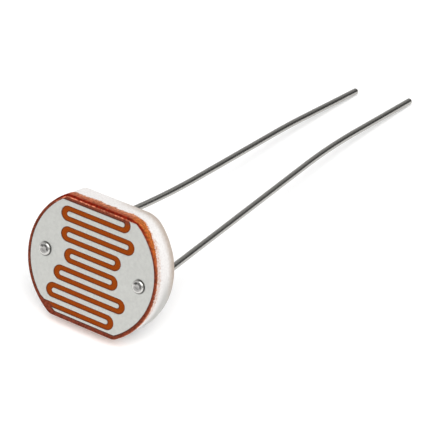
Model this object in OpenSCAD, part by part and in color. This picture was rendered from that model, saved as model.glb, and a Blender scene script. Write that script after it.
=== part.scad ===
// Photoresistor: a ceramic disc with two flats, a light-sensitive layer on its face,
// two comb electrodes parted by a winding gap, and two wire leads with upset heads.
// Millimetres. +X runs from the left lead to the right one, +Y back along the wires, +Z up.
// The disc stands on its lower flat and leans back on its wires, whose ends touch z = 0.

/* [Ceramic disc] */
// Diameter of the disc
disc_d = 11.9; // [11:0.1:14]
// Height of the disc across its two flats
disc_flat = 10.12; // [9.4:0.02:10.8]
// How far the middle between the flats lies below the leads
flat_drop = 0.08; // [0:0.01:0.15]
// Thickness of the ceramic
disc_t = 2.85; // [2:0.05:3.6]
// Rounding of the front edge
front_round = 0.14; // [0.05:0.01:0.18]
// Rounding of the back edge
back_round = 0.3; // [0.1:0.05:0.5]
// How far the printed pattern and the leads lie right of the disc's middle
pattern_shift = 0.05; // [0:0.01:0.1]

/* [Sensitive layer] */
// Thickness of the layer
cds_t = 0.05; // [0.03:0.01:0.1]
// Depth of the layer down the side of the disc
cds_skirt = 0.2; // [0.2:0.01:0.4]
// Depth of the layer down the top flat, where it ran over
cds_spill = 1.05; // [0.5:0.05:1.4]
// Height above the middle of the disc from which the layer deepens
spill_from = 2.5; // [1.5:0.1:3.5]

/* [Metal film] */
// Thickness of the film
metal_t = 0.04; // [0.02:0.01:0.08]
// Bare border beside the film, at the arcs
rim_side = 0.26; // [0.2:0.02:0.6]
// Bare border below the film
rim_bottom = 0.42; // [0.2:0.01:0.6]
// Bare border above the film
rim_top = 0.18; // [0.18:0.01:0.5]
// Height of the film's round outline above the leads
film_rise = 0.1; // [0:0.02:0.2]
// How far the film's lower left corner is cut back inside its round outline
corner_cut = 0.25; // [0:0.01:0.4]
// Angle of that cut below level
corner_turn = 29; // [20:1:40]

/* [Winding gap] */
// Number of straight runs, both ends of the gap on the left
track_runs = 12; // [8:2:14]
// Width of the gap
track_w = 0.445; // [0.3:0.005:0.5]
// Extra width of the gap at the tip of each finger
tip_extra = 0.11; // [0.05:0.01:0.2]
// Strip of film left below the lowest run
track_strip = 0.19; // [0.15:0.01:0.4]
// How far the highest run reaches past the film's upper edge
track_lap = 0.17; // [0.03:0.01:0.2]
// Film left beside the three middle bends, clear of the lead heads
margin_middle = 3.07; // [2.6:0.01:3.6]
// Film left beside the next bend up and down
margin_second = 2.18; // [1.6:0.01:3]
// Film left beside the bend after that
margin_third = 1.6; // [1.2:0.05:2.4]
// Film left beside the outermost bends
margin_outer = 1.03; // [0.9:0.01:1.6]
// Film left beside the lowest bend
margin_last = 1.2; // [0.9:0.01:1.6]

/* [Leads] */
// Diameter of the wire
wire_d = 0.56; // [0.4:0.02:0.7]
// Distance between the two leads at the disc
lead_pitch = 8.78; // [7.8:0.02:9.2]
// Diameter of the upset head
head_d = 1.06; // [0.9:0.02:1.4]
// Height of the head above the film
head_h = 0.2; // [0.2:0.01:0.5]
// Rounding of the head's shoulder
head_round = 0.14; // [0.05:0.01:0.18]
// Diameter of the shallow dimple in the head
dimple_d = 0.5; // [0.3:0.02:0.54]
// Depth of that dimple
dimple_h = 0.05; // [0.02:0.01:0.1]
// Clearance round the wire in its holes
hole_gap = 0.02; // [0.01:0.01:0.05]
// Rounding of the cut end
end_round = 0.05; // [0.02:0.01:0.1]
// Swelling of the wire's radius where it is bent
bend_swell = 0.005; // [0.003:0.001:0.01]

/* [Lead bends] */
// Straight length behind the disc
stub = 0.3; // [0.1:0.1:2]
// Radius of the bend that lifts a lead towards level
lift_r = 4; // [2:0.5:8]
// Straight length after that bend
lift_run = 0.2; // [0.1:0.1:2]
// Radius of the sideways turn that follows
turn_r = 3; // [2:0.5:6]
// Radius of the soft bends further out
soft_r = 60; // [40:5:90]
// Left lead: turn to the right at the disc
left_turn = 17.5; // [5:0.5:25]
// Left lead: straight length after that turn
left_first_run = 2.3; // [0.5:0.1:6]
// Left lead: soft bend back to the left
left_return = 10; // [2:0.5:15]
// Left lead: straight length in the middle
left_middle_run = 10.6; // [4:0.1:14]
// Left lead: soft bend to the right near the end
left_end_turn = 3.2; // [0.5:0.1:8]
// Left lead: straight length at the end
left_end_run = 7.4; // [4:0.1:12]
// Right lead: turn to the right at the disc
right_turn = 1.5; // [1:0.5:10]
// Right lead: straight length after that turn
right_first_run = 20.4; // [12:0.1:26]
// Right lead: soft bend to the right near the end
right_end_turn = 7; // [1:0.1:12]
// Right lead: straight length at the end
right_end_run = 7.9; // [4:0.1:12]

/* [Stance] */
// Angle by which the disc leans back
lean = 20; // [14:0.5:26]

/* [Hidden] */
$fn = 96;

LEFT = -1;
RIGHT = 1;
disc_r = disc_d / 2;
flat_top = disc_flat / 2 - flat_drop;
flat_bottom = disc_flat / 2 + flat_drop;
wire_r = wire_d / 2;
hole_r = wire_r + hole_gap;
film_top = cds_t + metal_t;
spill_slope = atan2(cds_spill - cds_skirt, flat_top - spill_from);

// How far a straight length of wire reaches into the bends at its ends
bend_lap = 2 * bend_swell;

// Outline of the metal film, from the middle of the disc
metal_r = disc_r - rim_side;
metal_low = rim_bottom - flat_bottom;
metal_high = flat_top - rim_top;

// Centre lines of the highest and lowest run, and the distance from run to run
run_high = metal_high + track_lap - track_w / 2;
run_low = metal_low + track_strip + track_w / 2;
track_pitch = (run_high - run_low) / (track_runs - 1);
bend_margins = [margin_middle, margin_middle, margin_second, margin_third, margin_outer];

// Each lead as a list of steps: turn to the right, radius of the turn, straight length after it
left_steps = [
    [left_turn, turn_r, left_first_run],
    [-left_return, soft_r, left_middle_run],
    [left_end_turn, soft_r, left_end_run]
];
right_steps = [
    [right_turn, turn_r, right_first_run],
    [right_end_turn, soft_r, right_end_run]
];

// Height of the disc's middle at which its rounded back edge touches the surface below
lift = (flat_bottom - back_round) * cos(lean) + (disc_t - back_round) * sin(lean) + back_round;

// Middle of the whole part as it stands, so that the origin is below it
low_x = -pattern_shift - disc_r - cds_t;
high_x = max(disc_r + cds_t - pattern_shift, tip_x(RIGHT, right_steps));
low_y = (front_round - flat_bottom) * sin(lean) + front_round * cos(lean) - front_round - cds_t;
high_y = max(tip_y(left_steps), tip_y(right_steps));
mid_x = (low_x + high_x) / 2;
mid_y = (low_y + high_y) / 2;

// Height of a run, counted from the top, and of the bend below a run
function run_y(run) = run_high - (run - 1) * track_pitch;
function bend_y(bend) = run_y(bend + 1 / 2);

// Bends lie right and left in turn, starting on the right
function bend_side(bend) = bend % 2 == 1 ? RIGHT : LEFT;

// Centre of a bend, at its own margin from the film's outline
function bend_margin(bend) =
    bend == track_runs - 1 ? margin_last :
    bend_margins[min(abs(bend - track_runs / 2), len(bend_margins) - 1)];
function film_half_width(y) = sqrt(pow(metal_r, 2) - pow(y - film_rise, 2));
function bend_reach(bend) = film_half_width(bend_y(bend)) - bend_margin(bend);
function bend_x(bend) = bend_side(bend) * (bend_reach(bend) - (track_pitch + track_w) / 2);

// Bend that ends a run on one side, and where that run stops: at the bend, or past the film at a free end
function end_bend(run, side) = bend_side(run) == side ? run : run - 1;
function run_end(run, side) =
    let (bend = end_bend(run, side))
    bend == 0 || bend == track_runs ? side * disc_r : bend_x(bend);

// End of a lead in its own sloping plane, after the lift: sideways, along, heading
function path_end(steps, i = 0, across = 0, along = lift_run, heading = 0) =
    i == len(steps) ? [across, along, heading] :
    let (
        after = heading + steps[i][0],
        radius = sign(steps[i][0]) * steps[i][1],
        run = steps[i][2]
    )
    path_end(
        steps, i + 1,
        across + radius * (cos(heading) - cos(after)) + run * sin(after),
        along + radius * (sin(after) - sin(heading)) + run * cos(after),
        after
    );

// Centre of the rounding at a lead's end, in the same plane
function tip_across(steps) = let (end = path_end(steps)) end.x - end_round * sin(end.z);
function tip_along(steps) = let (end = path_end(steps)) end.y - end_round * cos(end.z);
function tip_heading(steps) = path_end(steps).z;

// Fall of a lead below level that brings the underside of its end down to z = 0
function fall(steps) =
    let (
        offset = lift_r + wire_r - end_round,
        drop = lift - (disc_t + stub) * sin(lean) + lift_r * cos(lean) - end_round
    )
    asin(drop / norm([offset, tip_along(steps)])) - atan2(offset, tip_along(steps));

// Furthest reach of a lead's end to the right and to the back, before the part is centred
function tip_x(side, steps) =
    side * lead_pitch / 2 + tip_across(steps) + (wire_r - end_round) * cos(tip_heading(steps)) + end_round;
function tip_y(steps) =
    let (
        slope = fall(steps),
        facing = cos(tip_heading(steps)) * cos(slope)
    )
    (disc_t + stub) * cos(lean) + lift_r * (sin(lean) - sin(slope)) + tip_along(steps) * cos(slope)
    + (wire_r - end_round) * sqrt(1 - facing * facing) + end_round;

// From the disc's own frame, face towards +Z and flats up and down, to the standing part
module stand() {
    translate([-mid_x, -mid_y, lift]) rotate([90 - lean, 0, 0]) children();
}

// One rounded corner of a section
module quarter(radius, turn) {
    rotate(turn) intersection() {
        circle(radius);
        square(radius);
    }
}

// Half section of the disc out to its side, front face at 0, grown outwards for a coat
module edge_section(reach, grow) {
    translate([0, back_round - disc_t]) square([reach + grow, disc_t - front_round - back_round]);
    translate([0, -front_round]) square([reach - front_round, front_round + grow]);
    translate([0, -disc_t - grow]) square([reach - back_round, back_round + grow]);
    translate([reach - front_round, -front_round]) quarter(front_round + grow, 0);
    translate([reach - back_round, back_round - disc_t]) quarter(back_round + grow, -90);
}

// Disc with its two flats and rounded edges
module blank(grow) {
    translate([-pattern_shift, 0, 0]) intersection() {
        rotate_extrude() edge_section(disc_r, grow);
        rotate([90, 0, 90]) linear_extrude(2 * disc_d, center = true) {
            edge_section(flat_top, grow);
            mirror([1, 0]) edge_section(flat_bottom, grow);
        }
    }
}

module lead_holes() {
    for (side = [LEFT, RIGHT])
        translate([side * lead_pitch / 2, 0, -disc_d]) cylinder(r = hole_r, h = 2 * disc_d);
}

// Space in front of the layer's back border, which slopes away over the upper part of the disc
module coat_zone() {
    translate([-disc_d, -disc_d, -cds_skirt]) cube(2 * disc_d);
    translate([-disc_d, spill_from, -cds_skirt]) rotate([-spill_slope, 0, 0]) cube(2 * disc_d);
}

// Round film with straight upper and lower edges and a cut lower left corner
module film_outline() {
    intersection() {
        translate([0, film_rise]) circle(metal_r);
        translate([-disc_r, metal_low]) square([disc_d, metal_high - metal_low]);
        translate([0, film_rise]) rotate(-corner_turn)
            translate([-disc_d, corner_cut - metal_r]) square(2 * disc_d);
    }
}

// Half of the plane on one side of the upright line x = 0
module half_plane(side) {
    translate([side * disc_d / 2, 0]) square(disc_d, center = true);
}

// A bend of the gap about its centre: a half ring, wider at the tip of the finger that it goes round
module track_bend(side) {
    tip_r = (track_pitch - track_w) / 2;
    difference() {
        union() {
            intersection() {
                circle((track_pitch + track_w) / 2);
                half_plane(side);
            }
            square([2 * tip_extra, track_pitch], center = true);
        }
        translate([-side * tip_extra, 0]) circle(tip_r);
    }
}

// The winding gap: straight runs joined by bends
module track() {
    for (run = [1 : track_runs])
        translate([run_end(run, LEFT), run_y(run) - track_w / 2])
            square([run_end(run, RIGHT) - run_end(run, LEFT), track_w]);
    for (bend = [1 : track_runs - 1])
        translate([bend_x(bend), bend_y(bend)]) track_bend(bend_side(bend));
}

// Block from the left edge of the disc to a bend
module left_block(bend, height) {
    translate([-disc_r, -height / 2]) square([disc_r + bend_x(bend), height]);
}

// Everything to the left of the gap's centre line: a finger inside each right bend, which reaches
// into the runs above and below it, and the film beside each left bend
module left_of_track() {
    for (bend = [1 : track_runs - 1])
        translate([0, bend_y(bend)])
            if (bend_side(bend) == RIGHT) {
                left_block(bend, track_pitch + track_w / 2);
                translate([bend_x(bend), 0]) circle(track_pitch / 2);
            } else difference() {
                left_block(bend, track_pitch);
                translate([bend_x(bend), 0]) circle(track_pitch / 2);
            }
}

// A film of metal on the sensitive layer, with the lead holes through it
module metal_film() {
    difference() {
        translate([0, 0, cds_t]) linear_extrude(metal_t) difference() {
            children();
            track();
        }
        lead_holes();
    }
}

// Straight length of wire along +Z, its ends inside the bends that it joins, and what follows it
module wire_run(length, start_lap = bend_lap, end_lap = bend_lap) {
    translate([0, 0, -start_lap]) cylinder(r = wire_r, h = start_lap + length + end_lap);
    translate([0, 0, length]) children();
}

// Bend from +Z towards a direction in the XY plane, and what follows it
module wire_bend(angle, radius, towards) {
    rotate(towards) {
        translate([radius, 0, 0]) rotate([90, 0, 180]) rotate_extrude(angle = angle)
            translate([radius, 0]) circle(wire_r + bend_swell);
        translate([radius * (1 - cos(angle)), 0, radius * sin(angle)]) rotate([0, angle, 0])
            rotate(-towards) children();
    }
}

// Cut end of a wire with its edge rounded
module wire_end() {
    rotate_extrude() {
        square([wire_r - end_round, end_round]);
        translate([wire_r - end_round, 0]) quarter(end_round, 0);
    }
}

// Turns to the right and straights, one step after another
module wire_path(steps, i = 0) {
    turn = steps[i][0];
    last = i == len(steps) - 1;
    wire_bend(abs(turn), steps[i][1], turn > 0 ? 0 : 180)
        if (last) wire_run(steps[i][2] - end_round, end_lap = 0) wire_end();
        else wire_run(steps[i][2]) wire_path(steps, i + 1);
}

// Upset head with a rounded shoulder and a shallow dimple
module head() {
    dimple_r = (pow(dimple_d / 2, 2) + pow(dimple_h, 2)) / (2 * dimple_h);
    difference() {
        rotate_extrude() {
            square([head_d / 2, head_h - head_round]);
            translate([0, head_h - head_round]) square([head_d / 2 - head_round, head_round]);
            translate([head_d / 2 - head_round, head_h - head_round]) quarter(head_round, 0);
        }
        translate([0, 0, head_h - dimple_h + dimple_r]) sphere(dimple_r);
    }
}

// Lead from its head on the film, through the disc, lifted behind it and out to its end
module lead(side, steps) {
    translate([side * lead_pitch / 2, 0, film_top]) {
        head();
        rotate([180, 0, 0])
            wire_run(film_top + disc_t + stub, start_lap = head_h / 2)
                wire_bend(lean - fall(steps), lift_r, -90)
                    wire_run(lift_run)
                        wire_path(steps);
    }
}

module ceramic_substrate() {
    color("whitesmoke") stand() difference() {
        blank(0);
        lead_holes();
    }
}

module cds_layer() {
    color("chocolate") stand() difference() {
        intersection() {
            blank(cds_t);
            coat_zone();
        }
        blank(0);
        lead_holes();
    }
}

module electrode_left() {
    color("silver") stand() metal_film() intersection() {
        film_outline();
        left_of_track();
    }
}

module electrode_right() {
    color("lightgray") stand() metal_film() difference() {
        film_outline();
        left_of_track();
    }
}

module lead_left() {
    color("dimgray") stand() lead(LEFT, left_steps);
}

module lead_right() {
    color("gray") stand() lead(RIGHT, right_steps);
}

ceramic_substrate();
cds_layer();
electrode_left();
electrode_right();
lead_left();
lead_right();
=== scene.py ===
"""Photoresistor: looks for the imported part, in its own frame. Shapes are drawn in millimetres in the
disc's frame (x right, y up in the face, z out of the face) and then stood up in metres. Pairs such as
TAN_X say where a gradual change begins and where it is complete."""
import math

import bmesh
import bpy
import numpy as np
from mathutils import Matrix, Vector, kdtree, noise
from mathutils.geometry import delaunay_2d_cdt


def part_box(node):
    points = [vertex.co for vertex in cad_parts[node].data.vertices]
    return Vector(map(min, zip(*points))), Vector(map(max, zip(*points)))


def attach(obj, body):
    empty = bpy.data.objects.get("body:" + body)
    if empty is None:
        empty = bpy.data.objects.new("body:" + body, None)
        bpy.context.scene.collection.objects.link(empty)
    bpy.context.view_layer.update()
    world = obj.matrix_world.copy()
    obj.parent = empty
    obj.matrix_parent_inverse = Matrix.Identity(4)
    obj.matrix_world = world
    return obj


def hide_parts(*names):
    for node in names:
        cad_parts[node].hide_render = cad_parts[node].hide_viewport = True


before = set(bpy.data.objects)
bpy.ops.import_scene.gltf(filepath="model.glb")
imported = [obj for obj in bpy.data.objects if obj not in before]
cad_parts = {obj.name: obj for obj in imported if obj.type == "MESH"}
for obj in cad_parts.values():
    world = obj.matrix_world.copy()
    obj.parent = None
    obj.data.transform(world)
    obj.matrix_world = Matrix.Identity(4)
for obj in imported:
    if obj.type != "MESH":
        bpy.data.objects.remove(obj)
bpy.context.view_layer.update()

MM = 0.001
QUARTER = math.pi / 2
LEFT, RIGHT = -1, 1

# Fineness of the meshes, in millimetres where it is a length
STEP = 0.05
WELD = 1e-5
MERGE = 1e-7
SLACK = 0.01
HALVINGS = 20
MITRE_LIMIT = 0.5
HOLE_SIDES = 48

# Ceramic disc, in millimetres
DISC_R = 5.95
FLAT_TOP = 4.98
FLAT_BOTTOM = 5.14
DISC_T = 2.85
FRONT_ROUND = 0.14
FRONT_STEPS = 6
SIDE_STEPS = 24
BACK_ROUND = 0.3
BACK_STEPS = 8
PATTERN_SHIFT = 0.05
CORNER_R = 0.7
WORN_CORNER_R = 2.2
LEAN = math.radians(20)
DENT = 0.012
DENT_SIZE = 0.9
DENT_Z = (0, -0.4)

# Brown band and painted shade on the ceramic, and the rows of points on its back that carry them
BACK_ROWS = (0.42, 0.56, 0.75, 1.0)
BACK_SKIP = 3
BAND_INWARD = (-0.75, -0.3)
TAN_X = (-2, 3.5)
TAN_Y = (-2.5, 1.0)
TAN_DEPTH = (DISC_T - 1.4, DISC_T - 0.2)
SHADE_Y = (1.5, -1.0)
SHADE_DEPTH = (DISC_T - 2.1, DISC_T - 1.0)
TOP_BLUSH = 3

# Sensitive layer
CDS_T = 0.05
COAT = CDS_T - 0.002
SUNK = 0.02
TOP_Y = (3.6, 4.75)
TRACK_SINK = 0.004
TRACK_GRAIN = 0.07
TRACK_LEVEL = 1
ROUND_STEPS = 7

# Bead along the top edge of the layer
BEAD_W = 0.1
BEAD_H = 0.022
BEAD_STEPS = 4
BEAD_MEAN = 0.7
BEAD_BREAK = 0.6
BEAD_SIZE = 0.3
BEAD_LEVEL = 5

# Skirt of the layer down the side; RAGGED has the share, level and size of each noise
SKIRT = 0.22
LEAST_SKIRT = FRONT_ROUND + 0.01
SPILL = 1.05
SPILL_TURN = (0.0, math.radians(70))
SPILL_POWER = 1.5
LOW_SPILL = 0.8
LOW_SPILL_Y = (-4.6, -5.1)
RAGGED = ((0.55, 7, 0.4), (0.45, 3, 0.13))
RAGGED_SKIRT = 0.04
RAGGED_SPILL = 0.26
THINNING = ((0.15, 1), (0.3, 0.95), (0.45, 0.9), (0.6, 0.85), (0.75, 0.75), (0.9, 0.5), (1, 0.1))
PIT = 0.012
PIT_SIZE = 0.1
PIT_LEVELS = 3

# Wear of the layer
PATCH = Vector((4.3, 4.2))
PATCH_REACH = (3.6, 1.2)
TOP_COVER = 0.55
BARED = 0.12
BARED_X = (3.8, 4.8)
BARED_HIGH = (4.0, 2.9)
BARED_LOW = (-3.0, -1.0)

# Metal film
METAL_T = 0.04
FILM_TOP = CDS_T + METAL_T
FILM_FOOT = CDS_T - 0.01
RIM_SIDE = 0.26
RIM_BOTTOM = 0.42
RIM_TOP = 0.18
FILM_RISE = 0.1
CORNER_CUT = 0.25
CORNER_TURN = math.radians(29)
METAL_R = DISC_R - RIM_SIDE
CUT_REACH = METAL_R - CORNER_CUT
METAL_LOW = RIM_BOTTOM - FLAT_BOTTOM
METAL_HIGH = FLAT_TOP - RIM_TOP
FILM_BEVEL = 0.012
BEVEL_MIDDLE = FILM_BEVEL * 0.3
FILM_GRID = 0.3
FILM_MARGIN = 0.1

# Winding gap
RUNS = 12
TRACK_W = 0.445
TIP_EXTRA = 0.11
TRACK_STRIP = 0.19
TRACK_LAP = 0.17
MARGINS = (3.07, 3.07, 2.18, 1.6, 1.03)
MARGIN_LAST = 1.2
RUN_HIGH = METAL_HIGH + TRACK_LAP - TRACK_W / 2
RUN_LOW = METAL_LOW + TRACK_STRIP + TRACK_W / 2
PITCH = (RUN_HIGH - RUN_LOW) / (RUNS - 1)

# Rows of points on the layer's face along the film's edges, where its colours change
GAP_ROWS = (0, 0.03, 0.06, 0.1, 0.15, 0.2)
FILM_ROWS = (-0.04, 0, 0.03, 0.06, 0.1, 0.15)
ROW_STEP = 0.06
FACE_MARGIN = 0.01
HOLE_CLEAR = 1
RIM_LAP = 0.05
RIM_STRIP = 0.1
RIM_FADE = (-0.3, 0.02)

# Leads; each step is a turn in degrees, the radius of its bend and the straight run after it
WIRE_R = 0.28
WIRE_SIDES = 36
WIRE_STEP = 0.25
LEAD_PITCH = 8.78
HOLE_R = 0.3
HOLE_MOUTH = 0.06
STUB = 0.3
STUB_STEPS = 8
LIFT_R = 4.0
LIFT_STEPS = 12
LIFT_RUN = 0.2
TURN_R = 3.0
SOFT_R = 60.0
TURN_STEPS = 4
LEAD_STEPS = {
    LEFT: ((17.5, TURN_R, 2.3), (-10, SOFT_R, 10.6), (3.2, SOFT_R, 7.4)),
    RIGHT: ((1.5, TURN_R, 20.4), (7, SOFT_R, 7.9)),
}
END_ROUND = 0.05
WORN_END_ROUND = 0.17
END_STEPS = 5
CUT_END = (0.36, 0.24)

# Heads of the leads
HEAD_R = 0.53
HEAD_H = 0.2
HEAD_ROUND = 0.14
HEAD_STEPS = 8
HEAD_FOOT = 0.05
HEAD_SEAT = 0.002
SEAT_ROUND = 0.02
DIMPLE_R = 0.35
DIMPLE_H = 0.06
DIMPLE_RINGS = (0.12, 0.28, 0.44, 0.6, 0.72, 0.84, 0.93, 1)

# Dirt and painted shade in the heads, and painted shade on the film round them
DIRT_SHADE_TOWARDS = Vector((0.34, 0.94))
DIRT_SHADE_FACING = (-0.3, 0.35)
DIRT_SHADE_INNER = (0.12, 0.24)
DIRT_SHADE_OUTER = (0.42, 0.38)
DIRT_SHADE_CENTRE = (0.3, 0.2)
DIRT_SHADE_CENTRE_SHARE = 0.4
DIRT_SHADE_FOOT = (FILM_TOP + 0.1, FILM_TOP + 0.04)
HEAD_CLEAR = 0.25
HEAD_ROWS = (-0.05, 0.02, 0.06, 0.1, 0.14, 0.2)
FOOT_SHADE_FACING = (-0.8, 0.1)
FOOT_SHADE_REACH = (HEAD_R + 0.12, HEAD_R + 0.04)

# The disc's place in the part: its lower back edge rests on the floor
LIFT = (FLAT_BOTTOM - BACK_ROUND) * math.cos(LEAN) + (DISC_T - BACK_ROUND) * math.sin(LEAN) + BACK_ROUND
disc_low, disc_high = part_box("ceramic_substrate")
FRONT_REACH = (FLAT_BOTTOM - FRONT_ROUND) * math.sin(LEAN) - FRONT_ROUND * math.cos(LEAN) + FRONT_ROUND
MIDDLE = (disc_low.x + disc_high.x) / 2
ORIGIN = Vector((MIDDLE + PATTERN_SHIFT * MM, disc_low.y + FRONT_REACH * MM, LIFT * MM))
STAND = (
    Matrix.Translation(ORIGIN)
    @ Matrix.Rotation(QUARTER - LEAN, 4, "X")
    @ Matrix.Scale(MM, 4)
)


# Measures
def smoothstep(low, high, value):
    t = min(1.0, max(0.0, (value - low) / (high - low)))
    return t * t * (3 - 2 * t)


def wobble(place, level, size):
    """Smooth noise from -1 to 1 whose features have the given size; levels differ from each other."""
    return noise.noise(Vector((place.x, place.y, level)) / size)


def quarter_turn(count):
    """Sine and cosine of each angle from 0 to a quarter turn, in equal steps."""
    angles = [QUARTER * i / count for i in range(count + 1)]
    return [(math.sin(angle), math.cos(angle)) for angle in angles]


def point_tree(points):
    """Search tree of points in the face."""
    tree = kdtree.KDTree(len(points))
    for i, point in enumerate(points):
        tree.insert((point.x, point.y, 0), i)
    tree.balance()
    return tree


# Paths in the plane of the face: straight lines and arcs
def line(start, end):
    return ("line", Vector(start), Vector(end))


def arc(centre, radius, first, last):
    return ("arc", Vector(centre), radius, first, last)


def trace(segments, step):
    """Points along a path with the unit normals on its left side."""
    points = []
    for segment in segments:
        if segment[0] == "line":
            start, end = segment[1], segment[2]
            along = (end - start).normalized()
            normal = Vector((-along.y, along.x))
            count = max(1, round((end - start).length / step))
            points += [(start.lerp(end, i / count), normal) for i in range(count)]
        else:
            centre, radius, first, last = segment[1:]
            count = max(2, round(abs(last - first) * radius / step))
            turn = 1 if last > first else -1
            for i in range(count):
                angle = first + (last - first) * i / count
                spoke = Vector((math.cos(angle), math.sin(angle)))
                points.append((centre + radius * spoke, -turn * spoke))
    return points


def disc_outline(step):
    """Outline of the disc anticlockwise, as points with outward normals."""
    corners = ((FLAT_TOP, WORN_CORNER_R), (FLAT_TOP, CORNER_R), (FLAT_BOTTOM, CORNER_R))
    worn_y, high_y, low_y = (flat - r for flat, r in corners)
    worn_x, high_x, low_x = (math.sqrt((DISC_R - r) ** 2 - (flat - r) ** 2) for flat, r in corners)
    worn, high, low = math.atan2(worn_y, worn_x), math.atan2(high_y, high_x), math.atan2(low_y, low_x)
    segments = [
        arc((0, 0), DISC_R, -low, worn),
        arc((worn_x, worn_y), WORN_CORNER_R, worn, QUARTER),
        line((worn_x, FLAT_TOP), (-high_x, FLAT_TOP)),
        arc((-high_x, high_y), CORNER_R, QUARTER, 2 * QUARTER - high),
        arc((0, 0), DISC_R, 2 * QUARTER - high, 2 * QUARTER + low),
        arc((-low_x, -low_y), CORNER_R, 2 * QUARTER + low, 3 * QUARTER),
        line((-low_x, -FLAT_BOTTOM), (low_x, -FLAT_BOTTOM)),
        arc((low_x, -low_y), CORNER_R, 3 * QUARTER, 4 * QUARTER - low),
    ]
    shift = Vector((PATTERN_SHIFT, 0))
    return [(point - shift, -normal) for point, normal in trace(segments, step)]


def film_outline(step):
    """Outline of the metal film anticlockwise, from the right end of its upper edge."""
    middle = Vector((0, FILM_RISE))
    high = math.asin((METAL_HIGH - FILM_RISE) / METAL_R)
    low = math.asin((METAL_LOW - FILM_RISE) / METAL_R)
    reach_high, reach_low = METAL_R * math.cos(high), METAL_R * math.cos(low)
    cut_from = 3 * QUARTER - CORNER_TURN - math.acos(CUT_REACH / METAL_R)
    cut_start = middle + METAL_R * Vector((math.cos(cut_from), math.sin(cut_from)))
    cut_drop = (METAL_LOW - FILM_RISE) * math.cos(CORNER_TURN)
    cut_end = Vector((-(CUT_REACH + cut_drop) / math.sin(CORNER_TURN), METAL_LOW))
    segments = [
        line((reach_high, METAL_HIGH), (-reach_high, METAL_HIGH)),
        arc(middle, METAL_R, 2 * QUARTER - high, cut_from),
        line(cut_start, cut_end),
        line(cut_end, (reach_low, METAL_LOW)),
        arc(middle, METAL_R, low, high),
    ]
    return [point for point, normal in trace(segments, step)]


def past_round(point):
    """Distance outside the film's round outline or its cut lower left corner."""
    rise = point.y - FILM_RISE
    past_cut = -point.x * math.sin(CORNER_TURN) - rise * math.cos(CORNER_TURN) - CUT_REACH
    return max(math.hypot(point.x, rise) - METAL_R, past_cut)


def in_film(point):
    return METAL_LOW < point.y < METAL_HIGH and past_round(point) < 0


def run_y(run):
    return RUN_HIGH - (run - 1) * PITCH


def bend_side(bend):
    return RIGHT if bend % 2 else LEFT


def bend_centre(bend):
    """Centre of the bend below a run, at its own margin from the film's outline."""
    y = run_y(bend + 0.5)
    margin = MARGINS[min(int(abs(bend - RUNS / 2)), len(MARGINS) - 1)]
    if bend == RUNS - 1:
        margin = MARGIN_LAST
    reach = math.sqrt(METAL_R**2 - (y - FILM_RISE) ** 2) - margin
    return Vector((bend_side(bend) * (reach - (PITCH + TRACK_W) / 2), y))


def gap_edge(side, step):
    """Edge of the winding gap along one electrode, from its upper free end to its lower one."""
    segments = []
    place = Vector((-DISC_R, run_y(1) + side * TRACK_W / 2))
    for bend in range(1, RUNS):
        turn = bend_side(bend)
        centre = bend_centre(bend)
        if turn != side:
            centre.x -= turn * TIP_EXTRA
        spoke = Vector((0, (PITCH + turn * side * TRACK_W) / 2))
        segments.append(line(place, centre + spoke))
        segments.append(arc(centre, spoke.y, QUARTER, -QUARTER if turn == RIGHT else 3 * QUARTER))
        place = centre - spoke
    segments.append(line(place, (-DISC_R, place.y)))
    return trace(segments, step)


def crossing(inside, outside):
    """Point between two points at which the film's outline is crossed."""
    for _ in range(HALVINGS):
        middle = (inside + outside) / 2
        if in_film(middle):
            inside = middle
        else:
            outside = middle
    return inside


def electrode_loop(side, edge, outline):
    """Outline of one electrode: its edge of the gap, closed along the film's outline."""
    first = next(i for i, p in enumerate(edge) if in_film(p))
    last = next(i for i in reversed(range(len(edge))) if in_film(edge[i]))
    start = crossing(edge[first], edge[first - 1])
    end = crossing(edge[last], edge[last + 1])
    loop = [start] + edge[first : last + 1] + [end]
    from_start = min(range(len(outline)), key=lambda i: (outline[i] - start).length)
    from_end = min(range(len(outline)), key=lambda i: (outline[i] - end).length)
    if side == RIGHT:
        count = (from_start - from_end) % len(outline)
        rest = [outline[(from_end + i) % len(outline)] for i in range(1, count)]
        return loop + rest
    count = (from_end - from_start) % len(outline)
    rest = [outline[(from_end - i) % len(outline)] for i in range(1, count)]
    return (loop + rest)[::-1]


def ring(centre, radius, count):
    return [
        Vector(centre) + radius * Vector((math.cos(a), math.sin(a)))
        for a in (2 * math.pi * i / count for i in range(count))
    ]


def lead_place(side):
    """Point of the face at which a lead goes through it."""
    return Vector((side * LEAD_PITCH / 2, 0))


def hole_loops(radius):
    return [ring(lead_place(side), radius, HOLE_SIDES) for side in (LEFT, RIGHT)]


def inset(loop, distance):
    """The loop moved inwards, for a loop that runs anticlockwise."""
    moved = []
    for i, point in enumerate(loop):
        before = (point - loop[i - 1]).normalized()
        after = (loop[(i + 1) % len(loop)] - point).normalized()
        left = Vector((-before.y - after.y, before.x + after.x))
        moved.append(point + left * distance / max(MITRE_LIMIT, 1 + before.dot(after)))
    return moved


def inside_loops(points, loops):
    """Which points lie inside an odd number of the loops."""
    points = np.array(points, float)
    odd = np.zeros(len(points), bool)
    for loop in loops:
        corners = np.array(loop, float)
        for (x0, y0), (x1, y1) in zip(corners, np.roll(corners, -1, 0)):
            spans = (points[:, 1] < y0) != (points[:, 1] < y1)
            rise = y1 - y0 if y1 != y0 else 1.0
            odd ^= spans & (points[:, 0] < x0 + (points[:, 1] - y0) / rise * (x1 - x0))
    return odd


def fill(loops, extra):
    """Triangles between loops, through extra points where given: points and index triples."""
    points, edges = [], []
    for loop in loops:
        base = len(points)
        points += loop
        edges += [(base + i, base + (i + 1) % len(loop)) for i in range(len(loop))]
    done = delaunay_2d_cdt(points + extra, edges, [], 0, MERGE, False)
    places, faces = done[0], done[2]
    middles = [sum((places[i] for i in face), Vector((0, 0))) / len(face) for face in faces]
    keep = inside_loops(middles, loops)
    return places, [face for face, kept in zip(faces, keep) if kept]


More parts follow.
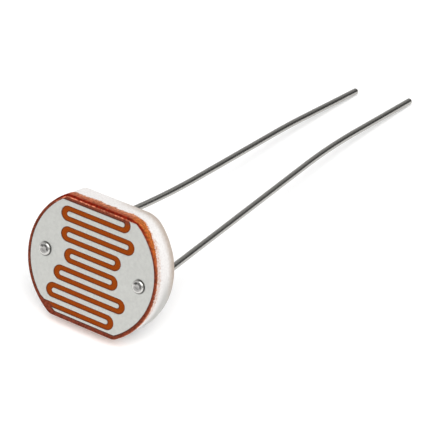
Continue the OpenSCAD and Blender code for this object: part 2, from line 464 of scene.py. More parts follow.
def grid(step, test):
    """Grid points in the face that pass a test."""
    count = int(DISC_R / step)
    spots = [
        Vector(((i + 0.5 * (j % 2)) * step, j * step))
        for i in range(-count, count + 1)
        for j in range(-count, count + 1)
    ]
    return [spot for spot in spots if test(spot)]


# Meshes
class Shell:
    """A mesh made of rings and filled faces, welded at the end."""

    def __init__(self):
        self.bm = bmesh.new()

    def loop(self, points):
        return [self.bm.verts.new(p) for p in points]

    def level(self, points, z):
        """A loop of points in the face, at one height."""
        return self.loop([(p.x, p.y, z) for p in points])

    def bridge(self, lower, upper):
        """Side faces between two loops that run anticlockwise, seen from outside the upper one."""
        count = len(lower)
        for i in range(count):
            j = (i + 1) % count
            self.bm.faces.new((lower[i], lower[j], upper[j], upper[i]))

    def cap(self, loops, height, extra=(), flip=False):
        """A filled face at a height, which may be a function of the point."""
        places, faces = fill(loops, list(extra))
        level = height if callable(height) else lambda p: height
        verts = [self.bm.verts.new((p.x, p.y, level(p))) for p in places]
        for face in faces:
            corners = [verts[i] for i in (reversed(face) if flip else face)]
            self.bm.faces.new(corners)

    def fan(self, loop, centre):
        """Triangles between a loop and a point."""
        middle = self.bm.verts.new(centre)
        for i, vert in enumerate(loop):
            self.bm.faces.new((vert, loop[(i + 1) % len(loop)], middle))

    def finish(self, name, attributes, smooth=40):
        """The object in the part's frame, shaded smooth up to an angle in degrees, with attributes
        measured in the disc's frame."""
        bmesh.ops.remove_doubles(self.bm, verts=self.bm.verts, dist=WELD)
        loose = [v for v in self.bm.verts if not v.link_faces]
        bmesh.ops.delete(self.bm, geom=loose, context="VERTS")
        bmesh.ops.recalc_face_normals(self.bm, faces=self.bm.faces)
        mesh = bpy.data.meshes.new(name)
        self.bm.to_mesh(mesh)
        self.bm.free()
        for key, measure in attributes.items():
            layer = mesh.attributes.new(key, "FLOAT", "POINT")
            values = [measure(v.co) for v in mesh.vertices]
            layer.data.foreach_set("value", values)
        mesh.transform(STAND)
        mesh.shade_smooth()
        mesh.set_sharp_from_angle(angle=math.radians(smooth))
        piece = bpy.data.objects.new(name, mesh)
        bpy.context.scene.collection.objects.link(piece)
        return piece


def dress(piece, cad_node, material):
    piece.data.materials.append(material)
    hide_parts(cad_node)
    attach(piece, "root")


def top_share(co):
    """1 along the top flat and its corners, 0 further down the sides."""
    return smoothstep(*TOP_Y, co.y)


class Border:
    """The disc's outline with the depth of the layer below each of its points."""

    def __init__(self, outline):
        self.outline = outline
        self.depths = [self.skirt_depth(point) for point, normal in outline]
        self.tree = point_tree([point for point, normal in outline])

    @staticmethod
    def skirt_depth(point):
        """Depth of the ragged border: small on the round sides, deep over the two flats."""
        spill = smoothstep(*SPILL_TURN, math.atan2(point.y, abs(point.x))) ** SPILL_POWER
        spill += LOW_SPILL * smoothstep(*LOW_SPILL_Y, point.y)
        ragged = sum(share * wobble(point, level, size) for share, level, size in RAGGED)
        return SKIRT + (SPILL - SKIRT) * spill + ragged * (RAGGED_SKIRT + RAGGED_SPILL * spill)

    def nearest(self, co):
        return self.tree.find((co.x, co.y, 0))[1]

    def outward(self, co):
        """Distance outside the outline, below zero inside it."""
        point, normal = self.outline[self.nearest(co)]
        return (co.xy - point).dot(normal)

    def roll(self, co):
        """Way from the sharp edge of the face, below zero on the face and above it on the side."""
        return self.outward(co) - co.z

    def cover(self, co):
        """Height above the ragged border of the layer."""
        return self.depths[self.nearest(co)] + co.z


def ceramic_profile():
    """Side of the disc from its face to its back, as pairs of reach and height."""
    side_from, side_to = -FRONT_ROUND, BACK_ROUND - DISC_T
    front = [(FRONT_ROUND * (s - 1), FRONT_ROUND * (c - 1)) for s, c in quarter_turn(FRONT_STEPS)]
    side = [(0, side_from + (side_to - side_from) * i / SIDE_STEPS) for i in range(1, SIDE_STEPS)]
    back = [(BACK_ROUND * (c - 1), side_to - BACK_ROUND * s) for s, c in quarter_turn(BACK_STEPS)]
    return front + side + back


def ceramic_measures(border):
    """Blush, a brown band and painted shade of the ceramic by place."""
    def near_edge(co):
        return smoothstep(*BAND_INWARD, border.outward(co))

    def blush(co):
        """Distance below the layer's border, counted faster on the top."""
        return -border.cover(co) * (1 + TOP_BLUSH * top_share(co))

    def tan_edge(co):
        """Brown band along the back edge, strongest at the upper right."""
        right = smoothstep(*TAN_X, co.x) * smoothstep(*TAN_Y, co.y)
        return near_edge(co) * right * smoothstep(*TAN_DEPTH, -co.z)

    def shaded(co):
        """Painted shade: a greyer band towards the back edge, on the lower half."""
        return near_edge(co) * smoothstep(*SHADE_Y, co.y) * smoothstep(*SHADE_DEPTH, -co.z)

    return {"blush": blush, "tan_edge": tan_edge, "shaded": shaded}


def build_ceramic(border):
    """Pressed disc: rounded edges, a slightly uneven side and two lead holes."""
    shell = Shell()
    outlines = []
    for reach, z in ceramic_profile():
        places = []
        for point, normal in border.outline:
            dent = DENT * (1 + wobble(point, z, DENT_SIZE)) * smoothstep(*DENT_Z, z)
            places.append(point + normal * (reach - dent))
        outlines.append((places, z))
    rings = [shell.level(places, z) for places, z in outlines]
    for upper, lower in zip(rings, rings[1:]):
        shell.bridge(lower, upper)
    holes, mouths = hole_loops(HOLE_R), hole_loops(HOLE_R + HOLE_MOUTH)
    back = [p - n * inward for inward in BACK_ROWS for p, n in border.outline[::BACK_SKIP]]
    shell.cap([outlines[0][0]] + holes, 0)
    shell.cap([outlines[-1][0]] + mouths, -DISC_T, back, flip=True)
    for hole, mouth in zip(holes, mouths):
        front = shell.level(hole, 0)
        throat = shell.level(hole, HOLE_MOUTH - DISC_T)
        end = shell.level(mouth, -DISC_T)
        shell.bridge(front, throat)
        shell.bridge(throat, end)
    return shell.finish("ceramic_disc", ceramic_measures(border))


def layer_rings(border):
    """Rings of the layer from its bead to the end of its skirt, as pairs of place and height."""
    outline = border.outline
    rings = []
    for step in range(BEAD_STEPS + 1):
        inward = BEAD_W * (1 - step / BEAD_STEPS)
        swell = BEAD_H * math.sin(math.pi * step / BEAD_STEPS)
        places = []
        for p, n in outline:
            broken = BEAD_MEAN + BEAD_BREAK * wobble(p, BEAD_LEVEL, BEAD_SIZE)
            places.append((p - n * (FRONT_ROUND + inward), COAT + swell * broken * top_share(p)))
        rings.append(places)
    rounding = FRONT_ROUND + COAT
    for turn in quarter_turn(ROUND_STEPS)[1:]:
        reach, z = (COAT - rounding + rounding * part for part in turn)
        rings.append([(p + n * reach, z) for p, n in outline])
    for share, thickness in THINNING:
        places = []
        for (p, n), depth in zip(outline, border.depths):
            pit = PIT * wobble(p, share * PIT_LEVELS, PIT_SIZE) * (1 - share)
            z = -FRONT_ROUND + (FRONT_ROUND - max(depth, LEAST_SKIRT)) * share
            places.append((p + n * (COAT * thickness - abs(pit)), z))
        rings.append(places)
    rings.append([(p - n * SUNK, z) for (p, n), (spot, z) in zip(outline, rings[-1])])
    rings.append([(p - n * SUNK, -SUNK) for p, n in outline])
    return rings


def layer_height(point):
    """Height of the layer's face, which is a little rough within the film's outline."""
    if in_film(point):
        return COAT - TRACK_SINK + TRACK_SINK * wobble(point, TRACK_LEVEL, TRACK_GRAIN)
    return COAT


def layer_detail(gap_edges, face, holes):
    """Points of the layer's face along the film's edges, clear of the lead holes."""
    rows = [
        point - side * into * normal
        for side, edge in gap_edges.items()
        for point, normal in edge
        for into in GAP_ROWS
    ]
    for grow in FILM_ROWS:
        rows += inset(film_outline(ROW_STEP), -grow)
    on_face = inside_loops(rows, [inset(face, FACE_MARGIN)])
    rows = [point for point, kept in zip(rows, on_face) if kept]
    return [point for point in rows if all((point - hole[0]).length > HOLE_CLEAR for hole in holes)]


def layer_measures(border, film_edges):
    """Colour zones and wear of the layer by place."""
    edges = point_tree(film_edges)

    def edge_distance(co):
        return edges.find((co.x, co.y, 0))[2]

    def rim(co):
        """0 in the winding gap, 1 outside the film."""
        over = max(co.y - run_y(1) + TRACK_W / 2, METAL_LOW - co.y + RIM_LAP)
        return smoothstep(*RIM_FADE, max(past_round(co), over - RIM_STRIP))

    def patch(co):
        """Orange patch on the upper right corner and the side below it."""
        return smoothstep(*PATCH_REACH, (co.xy - PATCH).length)

    def cover(co):
        """Height above the worn border of the layer, which lies higher on the right side."""
        bared = smoothstep(*BARED_X, co.x) * smoothstep(*BARED_HIGH, co.y) * smoothstep(*BARED_LOW, co.y)
        return border.cover(co) * (1 - TOP_COVER * top_share(co)) - BARED * bared

    return {
        "edge_distance": edge_distance,
        "rim": rim,
        "roll": border.roll,
        "cover": cover,
        "top": top_share,
        "patch": patch,
    }


def build_layer(border, film_edges, gap_edges):
    """Sensitive layer: the face, a bead at its top edge and a ragged skirt down the side."""
    shell = Shell()
    rings = layer_rings(border)
    loops = [shell.loop([(spot.x, spot.y, z) for spot, z in places]) for places in rings]
    for upper, lower in zip(loops, loops[1:]):
        shell.bridge(lower, upper)
    face = [spot for spot, z in rings[0]]
    underside = [p - n * SUNK for p, n in border.outline]
    holes = hole_loops(HOLE_R)
    shell.cap([face] + holes, layer_height, layer_detail(gap_edges, face, holes))
    shell.cap([underside] + holes, -SUNK, flip=True)
    for hole in holes:
        upper = shell.loop([(p.x, p.y, layer_height(p)) for p in hole])
        shell.bridge(upper, shell.level(hole, -SUNK))
    return shell.finish("sensitive_layer", layer_measures(border, film_edges), smooth=60)


def build_electrode(name, side, loop):
    """Comb of metal film with softened edges and a hole for its lead."""
    shell = Shell()
    head = lead_place(side)
    hole = ring(head, HOLE_R, HOLE_SIDES)
    levels = (
        (0, FILM_FOOT),
        (0, FILM_TOP - FILM_BEVEL),
        (BEVEL_MIDDLE, FILM_TOP - BEVEL_MIDDLE),
        (FILM_BEVEL, FILM_TOP),
    )
    loops = [shell.level(inset(loop, distance), z) for distance, z in levels]
    for lower, upper in zip(loops, loops[1:]):
        shell.bridge(lower, upper)
    spots = grid(FILM_GRID, in_film)
    inner = inside_loops(spots, [inset(loop, FILM_MARGIN)])
    extra = [p for p, kept in zip(spots, inner) if kept and (p - head).length > HEAD_R + HEAD_CLEAR]
    for grow in HEAD_ROWS:
        extra += ring(head, HEAD_R + grow, HOLE_SIDES)
    shell.cap([inset(loop, FILM_BEVEL), hole], FILM_TOP, extra)
    shell.cap([loop, hole], FILM_FOOT, flip=True)
    upper = shell.level(hole, FILM_TOP)
    lower = shell.level(hole, FILM_FOOT)
    shell.bridge(upper, lower)

    def foot_shade(co):
        """Painted shade: a dark line on the film round the lead's head, open at its left."""
        out = co.xy - head
        facing = smoothstep(*FOOT_SHADE_FACING, out.x / max(out.length, SLACK))
        return facing * smoothstep(*FOOT_SHADE_REACH, out.length)

    return shell.finish(name, {"foot_shade": foot_shade}, smooth=15)


def lead_fall(steps):
    """Angle below level at which a lead's end comes down to the floor."""
    along, heading = LIFT_RUN, 0.0
    for turn, radius, run in steps:
        after = heading + math.radians(turn)
        along += math.copysign(radius, turn) * (math.sin(after) - math.sin(heading))
        along += run * math.cos(after)
        heading = after
    tip = along - END_ROUND * math.cos(heading)
    offset = LIFT_R + WIRE_R - END_ROUND
    drop = LIFT - (DISC_T + STUB) * math.sin(LEAN) + LIFT_R * math.cos(LEAN) - END_ROUND
    return math.asin(drop / math.hypot(offset, tip)) - math.atan2(offset, tip)


def lead_frames(side, steps):
    """Frames along a lead's centre line, +Z ahead, from the film to its end."""
    place = Matrix.Translation((*lead_place(side), FILM_TOP)) @ Matrix.Rotation(math.pi, 4, "X")
    frames = [place]

    def run(length, count):
        nonlocal place
        for i in range(1, count + 1):
            frames.append(place @ Matrix.Translation((0, 0, length * i / count)))
        place = frames[-1]

    def bend(angle, radius, towards, count):
        nonlocal place
        face = Matrix.Rotation(towards, 4, "Z")
        for i in range(1, count + 1):
            a = angle * i / count
            swing = Matrix.Translation((radius * (1 - math.cos(a)), 0, radius * math.sin(a)))
            frames.append(place @ face @ swing @ Matrix.Rotation(a, 4, "Y") @ face.inverted())
        place = frames[-1]

    run(FILM_TOP + DISC_T + STUB, STUB_STEPS)
    bend(LEAN - lead_fall(steps), LIFT_R, -QUARTER, LIFT_STEPS)
    run(LIFT_RUN, 1)
    for turn, radius, length in steps:
        angle = math.radians(abs(turn))
        count = max(TURN_STEPS, round(angle * radius / WIRE_STEP))
        bend(angle, radius, 0 if turn > 0 else math.pi, count)
        run(length, round(length / WIRE_STEP))
    return frames


def lead_rings(frames):
    """Rings of a lead from its dimple to its cut end, as pairs of frame and radius."""
    def ahead(place, distance):
        return place @ Matrix.Translation((0, 0, distance))

    start, end = frames[0], frames[-1]
    rings = []
    for share in DIMPLE_RINGS:
        sag = DIMPLE_H * (1 - share**2)
        rings.append((ahead(start, sag - HEAD_H), share * DIMPLE_R))
    for sine, cosine in quarter_turn(HEAD_STEPS):
        height = HEAD_H - HEAD_ROUND + HEAD_ROUND * cosine
        rings.append((ahead(start, -height), HEAD_R - HEAD_ROUND + HEAD_ROUND * sine))
    rings.append((ahead(start, -HEAD_FOOT), HEAD_R))
    rings.append((ahead(start, -HEAD_SEAT), HEAD_R - SEAT_ROUND))
    rings.append((ahead(start, -HEAD_SEAT), WIRE_R + SEAT_ROUND))
    rings += [(place, WIRE_R) for place in frames[1:-1]]
    for sine, cosine in quarter_turn(END_STEPS):
        back, shrink = (WORN_END_ROUND * (1 - part) for part in (sine, cosine))
        rings.append((ahead(end, -back), WIRE_R - shrink))
    return rings


def lead_measures(side, end):
    """Dirt and painted shade, and bare metal, of a lead by place."""
    middle = lead_place(side)

    def dirt_and_shade(co):
        """Dirt and painted shade on the head: a dark crescent above its dimple, a spot in its middle and
        its foot.
        """
        out = co.xy - middle
        if co.z < FILM_TOP - SLACK or out.length > HEAD_R + SLACK:
            return 0.0
        facing = smoothstep(*DIRT_SHADE_FACING, out.dot(DIRT_SHADE_TOWARDS) / max(out.length, SLACK))
        hollow = smoothstep(*DIRT_SHADE_INNER, out.length) * smoothstep(*DIRT_SHADE_OUTER, out.length)
        centre = DIRT_SHADE_CENTRE_SHARE * smoothstep(*DIRT_SHADE_CENTRE, out.length)
        return max(hollow * facing, centre, smoothstep(*DIRT_SHADE_FOOT, co.z))

    def head(co):
        """1 on the pressed head, which is brighter than the drawn wire."""
        return 1.0 if co.z > FILM_TOP and (co.xy - middle).length < HEAD_R + SLACK else 0.0

    def cut(co):
        """1 on the cut end of the wire."""
        return smoothstep(*CUT_END, (co - end).length)

    return {"dirt_and_shade": dirt_and_shade, "cut": cut, "head": head}


def build_lead(name, side):
    """Wire with an upset, dimpled head, its bends and a cut end."""
    shell = Shell()
    frames = lead_frames(side, LEAD_STEPS[side])
    rings = lead_rings(frames)
    loops = []
    for place, radius in rings:
        circle = [Vector((p.x, p.y, 0)) for p in ring((0, 0), radius, WIRE_SIDES)]
        loops.append(shell.loop([place @ p for p in circle]))
    for upper, lower in zip(loops, loops[1:]):
        shell.bridge(upper, lower)
    for last in (0, -1):
        shell.fan(loops[last], rings[last][0].translation)
    return shell.finish(name, lead_measures(side, frames[-1].translation))


# Colours, linear; the two tables run over the layer's edge, from the face down the side
CERAMIC_DARK = (0.79, 0.755, 0.74)
CERAMIC_LIGHT = (0.905, 0.88, 0.86)
CERAMIC_BLUSH = (0.72, 0.47, 0.37)
CERAMIC_CRUMB = (0.52, 0.21, 0.09)
# Painted shade: grey of the band towards the back edge on the lower half of the side
CERAMIC_SHADE = (0.57, 0.56, 0.54)
CERAMIC_TAN = (0.50, 0.42, 0.36)
TRACK_DARK = (0.21, 0.034, 0.0015)
TRACK_LIGHT = (0.335, 0.06, 0.0025)
TRACK_EDGE = (0.13, 0.036, 0.014)
RIM_DARK = (0.165, 0.034, 0.017)
RIM_LIGHT = (0.215, 0.046, 0.023)
RIM_EDGE = (0.095, 0.034, 0.024)
LAYER_OVER_SIDE = (
    (-0.12, RIM_DARK),
    (-0.02, (0.235, 0.050, 0.021)),
    (0.06, (0.34, 0.100, 0.047)),
    (0.16, (0.60, 0.33, 0.23)),
)
# Over the top edge the darkest red, from -0.14 to 0.06, is partly the thick coat's own colour and partly
# painted shade
LAYER_OVER_TOP = (
    (-0.24, (0.23, 0.046, 0.021)),
    (-0.14, (0.17, 0.009, 0.002)),
    (0.06, (0.17, 0.009, 0.002)),
    (0.15, (0.31, 0.050, 0.021)),
    (0.60, (0.49, 0.145, 0.066)),
    (0.95, (0.55, 0.225, 0.118)),
)
# Painted highlight along the bead at the top edge of the layer
LAYER_RIDGE_HIGHLIGHT = (0.66, 0.22, 0.125)
LAYER_PATCH = (0.36, 0.07, 0.012)
LAYER_CORNER = (0.53, 0.145, 0.028)
LAYER_TORN = (0.84, 0.74, 0.69)
FILM_DARK = (0.57, 0.572, 0.546)
FILM_LIGHT = (0.627, 0.63, 0.6)
# Painted shade round the feet of the leads' heads
FILM_FOOT_SHADE = (0.12, 0.12, 0.115)
WIRE_DARK = (0.375, 0.367, 0.347)
WIRE_LIGHT = (0.47, 0.46, 0.435)
WIRE_HEAD = (0.6, 0.59, 0.57)
# Dirt and painted shade in the heads' hollows and at their feet
WIRE_DIRT_SHADE = (0.04, 0.039, 0.037)
WIRE_CUT = (0.6, 0.58, 0.55)
FLOOR_TONE = (0.93, 0.93, 0.93, 1)
FLOOR_GLOW = (1, 1, 1, 1)
FLOOR_LIFT = 0.14
NOISE_RANGE = (0.25, 0.75)


# Materials
def new_material(name):
    material = bpy.data.materials.new(name)
    material.use_nodes = True
    tree = material.node_tree
    return material, tree, tree.nodes["Principled BSDF"]


def node(tree, kind, **settings):
    made = tree.nodes.new(kind)
    for key, value in settings.items():
        if key in made.inputs:
            made.inputs[key].default_value = value
        else:
            setattr(made, key, value)
    return made


def link(tree, output, target):
    tree.links.new(output, target)


def grain(tree, size, detail):
    """Noise whose features have the given size in millimetres."""
    place = node(tree, "ShaderNodeTexCoord")
    made = node(tree, "ShaderNodeTexNoise", Scale=1 / (size * MM), Detail=detail)
    link(tree, place.outputs["Object"], made.inputs["Vector"])
    return made.outputs["Fac"]


def attribute(tree, name):
    return node(tree, "ShaderNodeAttribute", attribute_name=name).outputs["Fac"]


def scaled(tree, value, low, high, to_low=0.0, to_high=1.0):
    made = node(tree, "ShaderNodeMapRange")
    for key, number in zip(("From Min", "From Max", "To Min", "To Max"), (low, high, to_low, to_high)):
        made.inputs[key].default_value = number
    link(tree, value, made.inputs["Value"])
    return made.outputs["Result"]


def ramp(tree, value, stops):
    """Colours along a value, given as pairs of the value and a colour or a grey."""
    low, high = stops[0][0], stops[-1][0]
    made = node(tree, "ShaderNodeValToRGB")
    elements = made.color_ramp.elements
    while len(elements) < len(stops):
        elements.new(0.5)
    for element, (place, colour) in zip(elements, stops):
        element.position = (place - low) / (high - low)
        element.color = (*colour, 1) if isinstance(colour, tuple) else (colour, colour, colour, 1)
    link(tree, scaled(tree, value, low, high), made.inputs["Fac"])
    return made.outputs["Color"]


def combined(tree, operation, *values):
    """Result of a math node, each of its values a socket or a number."""
    made = node(tree, "ShaderNodeMath", operation=operation)
    for socket, value in zip(made.inputs, values):
        if isinstance(value, float):
            socket.default_value = value
        else:
            link(tree, value, socket)
    return made.outputs[0]


def blurred(tree, value, noise_value, amount):
    """A value shifted up and down by a noise of mean 0.5."""
    return combined(tree, "MULTIPLY_ADD", scaled(tree, noise_value, *NOISE_RANGE, -1, 1), amount, value)


def mixed(tree, share, first, second, blend="MIX"):
    """Mix of two colours, each a socket or a plain colour."""
    made = node(tree, "ShaderNodeMix", data_type="RGBA", blend_type=blend)
    colours = [s for s in made.inputs if s.type == "RGBA"]
    for socket, source in zip(colours, (first, second)):
        if isinstance(source, tuple):
            socket.default_value = (*source, 1)
        else:
            link(tree, source, socket)
    if isinstance(share, float):
        made.inputs[0].default_value = share
    else:
        link(tree, share, made.inputs[0])
    return next(s for s in made.outputs if s.type == "RGBA")


def product(tree, first, second):
    return mixed(tree, 1.0, first, second, "MULTIPLY")


def bumped(tree, shader, value, distance, strength):
    """Bump of a height in millimetres."""
    made = node(tree, "ShaderNodeBump", Strength=strength, Distance=distance * MM)
    link(tree, value, made.inputs["Height"])
    link(tree, made.outputs["Normal"], shader.inputs["Normal"])


def ceramic_material():
    """Grainy white, with crumbs and a blush below the layer, and a brown band and painted shade towards the
    back edge.
    """
    material, tree, shader = new_material("pressed_ceramic")
    body = ramp(tree, grain(tree, 0.12, 5), ((0.33, CERAMIC_DARK), (0.62, CERAMIC_LIGHT)))
    below = attribute(tree, "blush")
    near = blurred(tree, below, grain(tree, 0.09, 4), 0.16)
    blush = ramp(tree, near, ((-0.1, 1.0), (0.1, 0.55), (0.45, 0.0)))
    pink = mixed(tree, blush, body, CERAMIC_BLUSH)
    flecks = ramp(tree, grain(tree, 0.15, 3), ((0.51, 0.0), (0.59, 0.9)))
    reach = ramp(tree, below, ((0.05, 1.0), (0.6, 0.0)))
    crumbs = mixed(tree, product(tree, flecks, reach), pink, CERAMIC_CRUMB)
    # Painted shade: greyer band towards the back edge, on the lower half
    shaded = mixed(tree, attribute(tree, "shaded"), crumbs, CERAMIC_SHADE)
    edge = blurred(tree, attribute(tree, "tan_edge"), grain(tree, 0.2, 4), 0.12)
    darkened = mixed(tree, ramp(tree, edge, ((0.1, 0.0), (0.9, 1.0))), shaded, CERAMIC_TAN)
    link(tree, darkened, shader.inputs["Base Color"])
    shader.inputs["Roughness"].default_value = 0.7
    shader.inputs["Specular IOR Level"].default_value = 0.2
    bumped(tree, shader, grain(tree, 0.08, 5), 0.012, 0.5)
    return material


def layer_face(tree, mottle):
    """Orange in the winding gap and red-brown round the film, darker along the film's edges."""
    distance = attribute(tree, "edge_distance")
    speck = grain(tree, 0.06, 3)
    orange = ramp(tree, speck, ((0.3, TRACK_DARK), (0.7, TRACK_LIGHT)))
    track = mixed(tree, ramp(tree, distance, ((0.02, 0.0), (0.12, 1.0))), TRACK_EDGE, orange)
    plain = ramp(tree, speck, ((0.3, RIM_DARK), (0.7, RIM_LIGHT)))
    brown = mixed(tree, 0.7, plain, mottle, "MULTIPLY")
    rim = mixed(tree, ramp(tree, distance, ((0.06, 0.0), (0.15, 1.0))), RIM_EDGE, brown)
    return mixed(tree, attribute(tree, "rim"), track, rim)


def layer_edge(tree, roll, mottle):
    """Worn layer over the edge: a broken painted highlight along the bead at its top, a darkest band beyond
    it that is partly painted shade, and an orange upper right corner.
    """
    # Painted highlight along the bead at the top edge of the layer
    ridge_highlight = ramp(tree, roll, ((-0.27, 0.0), (-0.23, 1.0), (-0.17, 1.0), (-0.13, 0.0)))
    broken = ramp(tree, grain(tree, 0.3, 4), ((0.38, 0.25), (0.55, 1.0)))
    over_top = mixed(tree, product(tree, ridge_highlight, broken), ramp(tree, roll, LAYER_OVER_TOP), LAYER_RIDGE_HIGHLIGHT)
    patch = attribute(tree, "patch")
    past_edge = ramp(tree, roll, ((-0.12, 0.0), (0.0, 1.0)))
    over_side = mixed(tree, product(tree, past_edge, patch), ramp(tree, roll, LAYER_OVER_SIDE), LAYER_PATCH)
    over = mixed(tree, attribute(tree, "top"), over_side, over_top)
    near_corner = ramp(tree, patch, ((0.7, 0.0), (1.0, 0.85)))
    outer = ramp(tree, roll, ((0.02, 0.0), (0.24, 1.0)))
    corner = mixed(tree, product(tree, outer, near_corner), over, LAYER_CORNER)
    return product(tree, corner, mottle)


def layer_material():
    """The layer's face, its worn edge and the torn border of its skirt."""
    material, tree, shader = new_material("sensitive_layer")
    mottle = ramp(tree, grain(tree, 0.19, 5), ((0.36, 0.58), (0.5, 1.0), (0.64, 1.35)))
    roll = blurred(tree, attribute(tree, "roll"), grain(tree, 0.2, 4), 0.035)
    past_face = ramp(tree, roll, ((-0.28, 0.0), (-0.24, 1.0)))
    coat = mixed(tree, past_face, layer_face(tree, mottle), layer_edge(tree, roll, mottle))
    cover = blurred(tree, attribute(tree, "cover"), grain(tree, 0.1, 5), 0.09)
    torn = mixed(tree, ramp(tree, cover, ((0.0, 0.0), (0.03, 1.0))), LAYER_TORN, coat)
    link(tree, torn, shader.inputs["Base Color"])
    shader.inputs["Roughness"].default_value = 0.5
    shader.inputs["Specular IOR Level"].default_value = 0.04
    bumped(tree, shader, grain(tree, 0.05, 3), 0.01, 0.35)
    return material


def film_material():
    """Pale grey metal, with painted shade round the heads of the leads."""
    material, tree, shader = new_material("metal_film")
    tone = ramp(tree, grain(tree, 0.25, 4), ((0.3, FILM_DARK), (0.7, FILM_LIGHT)))
    # Painted shade round the feet of the leads' heads
    darkened = mixed(tree, attribute(tree, "foot_shade"), tone, FILM_FOOT_SHADE)
    link(tree, darkened, shader.inputs["Base Color"])
    shader.inputs["Metallic"].default_value = 1.0
    link(tree, scaled(tree, grain(tree, 0.1, 3), 0.3, 0.7, 0.42, 0.52), shader.inputs["Roughness"])
    bumped(tree, shader, grain(tree, 0.04, 3), 0.004, 0.3)
    return material


def wire_material():
    """Tinned wire with a brighter head that carries dirt and painted shade, and a dull cut end."""
    material, tree, shader = new_material("tinned_wire")
    tone = ramp(tree, grain(tree, 0.15, 4), ((0.3, WIRE_DARK), (0.7, WIRE_LIGHT)))
    pressed = mixed(tree, attribute(tree, "head"), tone, WIRE_HEAD)
    spots = ramp(tree, grain(tree, 0.12, 3), ((0.38, 0.75), (0.55, 1.0)))
    # Dirt and painted shade in the heads' hollows and at their feet
    with_dirt_and_shade = mixed(tree, product(tree, spots, attribute(tree, "dirt_and_shade")), pressed, WIRE_DIRT_SHADE)
    bare = attribute(tree, "cut")
    link(tree, mixed(tree, bare, with_dirt_and_shade, WIRE_CUT), shader.inputs["Base Color"])
    shader.inputs["Metallic"].default_value = 1.0
    drawn = scaled(tree, grain(tree, 0.08, 3), 0.3, 0.7, 0.15, 0.23)
    roughness = combined(tree, "MAXIMUM", drawn, scaled(tree, bare, 0, 1, 0, 0.55))
    link(tree, roughness, shader.inputs["Roughness"])
    bumped(tree, shader, grain(tree, 0.05, 3), 0.004, 0.4)
    return material


def floor_material():
    """Pale floor: seen directly or mirrored it is lifted to white, and it keeps the shadow."""
    material = bpy.data.materials.new("pale_floor")
    material.use_nodes = True
    tree = material.node_tree
    tree.nodes.clear()
    diffuse = node(tree, "ShaderNodeBsdfDiffuse", Color=FLOOR_TONE)
    glow = node(tree, "ShaderNodeEmission", Color=FLOOR_GLOW)
    rays = node(tree, "ShaderNodeLightPath").outputs
    mirrored = combined(tree, "MAXIMUM", rays["Is Camera Ray"], rays["Is Glossy Ray"])
    seen = combined(tree, "MAXIMUM", mirrored, rays["Is Transmission Ray"])
    link(tree, combined(tree, "MULTIPLY", seen, FLOOR_LIFT), glow.inputs["Strength"])
    both = node(tree, "ShaderNodeAddShader")
    link(tree, diffuse.outputs[0], both.inputs[0])
    link(tree, glow.outputs[0], both.inputs[1])
    output = node(tree, "ShaderNodeOutputMaterial")
    link(tree, both.outputs[0], output.inputs["Surface"])
    return material


# Stage, in metres; the lamps have a place, a size and a power in watts
FLOOR_REACH = 4.0
CAMERA_AZIMUTH = math.radians(32.316)
CAMERA_ELEVATION = math.radians(38.24)
CAMERA_AIM = Vector((0.2415, -2.069, 0)) * MM
CAMERA_DISTANCE = 216.509 * MM
CAMERA_SENSOR = 36
CAMERA_LENS = 217.67
CAMERA_CLIP = (0.01, 20)
LAMPS = {
    "softbox_key": ((0.2, -0.27, 0.57), 0.5, 2.85),
    "softbox_side": ((0.52, 0.0, 0.4), 0.35, 0.75),
    "softbox_back": ((0.16, 0.18, 0.55), 0.5, 0.35),
}
DARK_SIDE = (0.71, 0.58, 0.39)
STUDIO_TONES = (
    (-0.6, 0.75),
    (-0.2, 0.6),
    (0.2, 0.54),
    (0.45, 0.5),
    (0.65, 0.42),
    (0.8, 0.32),
    (0.92, 0.14),
    (1.0, 0.1),
)


def build_floor():
    mesh = bpy.data.meshes.new("floor")
    signs = ((-1, -1), (1, -1), (1, 1), (-1, 1))
    mesh.from_pydata([(x * FLOOR_REACH, y * FLOOR_REACH, 0) for x, y in signs], [], [(0, 1, 2, 3)])
    mesh.materials.append(floor_material())
    floor = bpy.data.objects.new("floor", mesh)
    bpy.context.scene.collection.objects.link(floor)


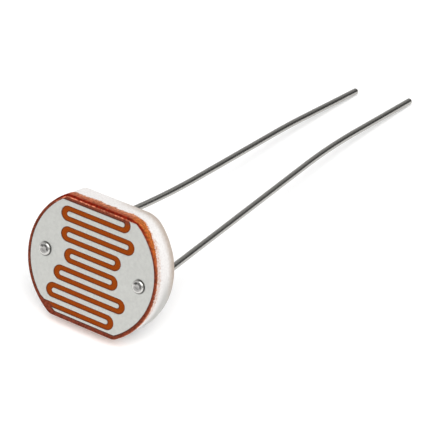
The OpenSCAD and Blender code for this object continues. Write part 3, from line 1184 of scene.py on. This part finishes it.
def build_camera():
    """Camera at the photograph's viewing angle, aimed at a point on the floor."""
    back = Vector((
        math.sin(CAMERA_AZIMUTH) * math.cos(CAMERA_ELEVATION),
        -math.cos(CAMERA_AZIMUTH) * math.cos(CAMERA_ELEVATION),
        math.sin(CAMERA_ELEVATION),
    ))
    data = bpy.data.cameras.new("camera")
    data.sensor_width = CAMERA_SENSOR
    data.lens = CAMERA_LENS
    data.clip_start, data.clip_end = CAMERA_CLIP
    camera = bpy.data.objects.new("camera", data)
    camera.location = CAMERA_AIM + back * CAMERA_DISTANCE
    camera.rotation_mode = "QUATERNION"
    camera.rotation_quaternion = (-back).to_track_quat("-Z", "Y")
    bpy.context.scene.collection.objects.link(camera)
    bpy.context.scene.camera = camera


def add_softbox(name, place, size, power):
    """Square lamp that faces the part."""
    data = bpy.data.lights.new(name, "AREA")
    data.shape = "SQUARE"
    data.size = size
    data.energy = power
    lamp = bpy.data.objects.new(name, data)
    lamp.location = place
    lamp.rotation_mode = "QUATERNION"
    lamp.rotation_quaternion = (-Vector(place)).to_track_quat("-Z", "Y")
    bpy.context.scene.collection.objects.link(lamp)


def build_world():
    """Grey studio that is darker towards one side, which the metal mirrors."""
    world = bpy.data.worlds.new("studio")
    world.use_nodes = True
    tree = world.node_tree
    ground = tree.nodes["Background"]
    place = node(tree, "ShaderNodeTexCoord")
    towards = node(tree, "ShaderNodeVectorMath", operation="DOT_PRODUCT")
    link(tree, place.outputs["Generated"], towards.inputs[0])
    towards.inputs[1].default_value = DARK_SIDE
    link(tree, ramp(tree, towards.outputs["Value"], STUDIO_TONES), ground.inputs["Color"])
    ground.inputs["Strength"].default_value = 1.0
    bpy.context.scene.world = world


gap_edges = {side: gap_edge(side, STEP) for side in (LEFT, RIGHT)}
film_line = film_outline(STEP)
loops = {
    side: electrode_loop(side, [point for point, normal in edge], film_line)
    for side, edge in gap_edges.items()
}

border = Border(disc_outline(STEP))
dress(build_ceramic(border), "ceramic_substrate", ceramic_material())
layer = build_layer(border, loops[LEFT] + loops[RIGHT], gap_edges)
dress(layer, "cds_layer", layer_material())
metal = film_material()
wire = wire_material()
for side, word in ((LEFT, "left"), (RIGHT, "right")):
    comb = build_electrode(f"comb_{word}", side, loops[side])
    dress(comb, f"electrode_{word}", metal)
    dress(build_lead(f"wire_{word}", side), f"lead_{word}", wire)

build_floor()
build_camera()
build_world()
for name, lamp in LAMPS.items():
    add_softbox(name, *lamp)
bpy.context.scene.view_settings.view_transform = "Standard"
